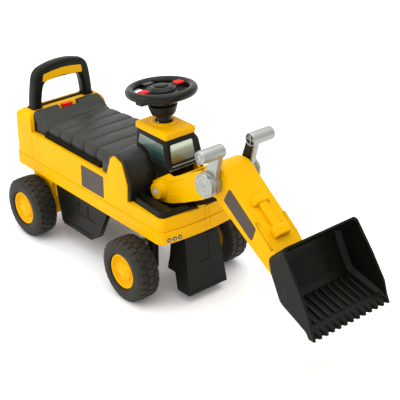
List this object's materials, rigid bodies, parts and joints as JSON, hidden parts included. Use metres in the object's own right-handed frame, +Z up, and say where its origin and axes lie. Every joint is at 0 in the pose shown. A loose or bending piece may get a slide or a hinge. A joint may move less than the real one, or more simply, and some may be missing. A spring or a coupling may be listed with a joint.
{
  "type": "ride-on digger",
  "caption": "Child's ride-on digger with a seat over a storage tub, a steering wheel on a cab, a push handle, four wheels and a lever-worked arm with a bucket.",
  "frame": {"origin": "on the ground under the middle of the toy's overall box, on its centre plane", "axes": "+X forward to the bucket's teeth, +Y to the toy's left, +Z up"},
  "size_m": [0.905, 0.2816, 0.4103],
  "materials": {
    "yellow_moulding": "satin moulded plastic, warm yellow",
    "black_moulding": "satin moulded plastic, near black with a faint green-grey tone",
    "tyre": "blow-moulded hard plastic tyre, matt",
    "silver_moulding": "silver-grey moulded plastic with fine metal flake",
    "steel": "bright steel",
    "red_moulding": "glossy red plastic",
    "window_tint": "glossy printed window panel, green-grey gradient",
    "badge_print": "plain warm grey sticker",
    "lamp_grey": "grey plastic lamp with a pale centre"
  },
  "bodies": {
    "chassis": {"body_shell": "yellow_moulding", "storage_tub": "black_moulding", "seat_hinge_pin": "steel", "push_handle": "black_moulding", "handle_inlay": "yellow_moulding", "front_cowl": "black_moulding", "deck_tray": "black_moulding", "cab_frame": "black_moulding", "window_front": "window_tint", "window_right": "window_tint", "window_left": "window_tint", "cab_roof": "yellow_moulding", "rear_axle_housing": "yellow_moulding", "front_axle_housing": "yellow_moulding", "rear_axle": "steel", "front_stabiliser": "black_moulding", "king_pin_right": "steel", "king_pin_left": "steel", "side_badge_right": "badge_print", "side_badge_left": "badge_print", "front_lamps": "lamp_grey", "latch_spring": "steel"},
    "lid": {"seat_lid": "black_moulding"},
    "latch": {"seat_latch": "red_moulding"},
    "steering": {"steering_column": "black_moulding", "column_screw": "steel", "steering_cup": "black_moulding", "steering_wheel": "black_moulding", "steering_crank": "steel"},
    "horn": {"horn_cap": "black_moulding"},
    "right_button": {"button_right": "red_moulding"},
    "left_button": {"button_left": "red_moulding"},
    "tie": {"tie_rod": "steel"},
    "boom": {"boom_right": "yellow_moulding", "boom_left": "yellow_moulding", "boom_cradle": "black_moulding", "boom_pin": "steel"},
    "stick": {"stick_right": "yellow_moulding", "stick_left": "yellow_moulding", "stick_decal_right": "badge_print", "stick_decal_left": "badge_print", "lever_right": "silver_moulding", "lever_left": "silver_moulding", "elbow_pin": "steel"},
    "scoop": {"bucket": "black_moulding", "bucket_pin": "steel"},
    "knuckle_right_body": {"knuckle_right": "black_moulding", "stub_axle_right": "steel"},
    "wheel_front_right": {"tyre_front_right": "tyre", "hub_front_right": "yellow_moulding"},
    "wheel_rear_right": {"tyre_rear_right": "tyre", "hub_rear_right": "yellow_moulding"},
    "knuckle_left_body": {"knuckle_left": "black_moulding", "stub_axle_left": "steel"},
    "wheel_front_left": {"tyre_front_left": "tyre", "hub_front_left": "yellow_moulding"},
    "wheel_rear_left": {"tyre_rear_left": "tyre", "hub_rear_left": "yellow_moulding"}
  },
  "joints": [
    {"name": "seat_lid_hinge", "type": "hinge", "parent": "chassis", "child": "lid", "pos_m": [-0.124, 0, 0.2485], "axis": [0, 1, 0], "range_deg": [0, 65]},
    {"name": "seat_latch_slide", "type": "slide", "parent": "chassis", "child": "latch", "axis": [0, 0, -1], "range_m": [0, 0.003], "stiffness_N_per_m": 300, "springref_m": -0.003, "deforming": ["latch_spring"]},
    {"name": "steering_turn", "type": "hinge", "parent": "chassis", "child": "steering", "pos_m": [-0.0585, 0, 0.395], "axis": [-0.1045, 0, 0.9945], "range_deg": [-35, 35]},
    {"name": "horn_press", "type": "slide", "parent": "steering", "child": "horn", "axis": [0.1045, 0, -0.9945], "range_m": [0, 0.002], "stiffness_N_per_m": 300, "springref_m": -0.002},
    {"name": "right_button_press", "type": "slide", "parent": "steering", "child": "right_button", "axis": [0.1045, 0, -0.9945], "range_m": [0, 0.002], "stiffness_N_per_m": 300, "springref_m": -0.002},
    {"name": "left_button_press", "type": "slide", "parent": "steering", "child": "left_button", "axis": [0.1045, 0, -0.9945], "range_m": [0, 0.002], "stiffness_N_per_m": 300, "springref_m": -0.002},
    {"name": "tie_rod_slide", "type": "slide", "parent": "chassis", "child": "tie", "axis": [0, 1, 0], "range_m": [-0.0096, 0.0096]},
    {"name": "boom_lift", "type": "hinge", "parent": "chassis", "child": "boom", "pos_m": [-0.0225, 0, 0.208], "axis": [0, -1, 0], "range_deg": [-4, 10]},
    {"name": "stick_swing", "type": "hinge", "parent": "boom", "child": "stick", "pos_m": [0.1325, 0, 0.283], "axis": [0, -1, 0], "range_deg": [-13, 25]},
    {"name": "bucket_tilt", "type": "hinge", "parent": "stick", "child": "scoop", "pos_m": [0.3235, 0, 0.158], "axis": [0, -1, 0], "range_deg": [-30, 25]},
    {"name": "knuckle_right_turn", "type": "hinge", "parent": "chassis", "child": "knuckle_right_body", "pos_m": [-0.0183, -0.06, 0.065], "axis": [0, 0, 1], "range_deg": [-21.5, 21.5]},
    {"name": "wheel_front_right_spin", "type": "hinge", "parent": "knuckle_right_body", "child": "wheel_front_right", "pos_m": [-0.0183, -0.118, 0.065], "axis": [0, 1, 0], "continuous": true},
    {"name": "wheel_rear_right_spin", "type": "hinge", "parent": "chassis", "child": "wheel_rear_right", "pos_m": [-0.3667, -0.118, 0.065], "axis": [0, 1, 0], "continuous": true},
    {"name": "knuckle_left_turn", "type": "hinge", "parent": "chassis", "child": "knuckle_left_body", "pos_m": [-0.0183, 0.06, 0.065], "axis": [0, 0, 1], "range_deg": [-21.5, 21.5]},
    {"name": "wheel_front_left_spin", "type": "hinge", "parent": "knuckle_left_body", "child": "wheel_front_left", "pos_m": [-0.0183, 0.118, 0.065], "axis": [0, 1, 0], "continuous": true},
    {"name": "wheel_rear_left_spin", "type": "hinge", "parent": "chassis", "child": "wheel_rear_left", "pos_m": [-0.3667, 0.118, 0.065], "axis": [0, 1, 0], "continuous": true}
  ],
  "couplings": [
    {"joint": "knuckle_right_turn", "follows": "steering_turn", "ratio": 0.6},
    {"joint": "knuckle_left_turn", "follows": "steering_turn", "ratio": 0.6},
    {"joint": "tie_rod_slide", "follows": "steering_turn", "m_per_rad": -0.0155}
  ]
}
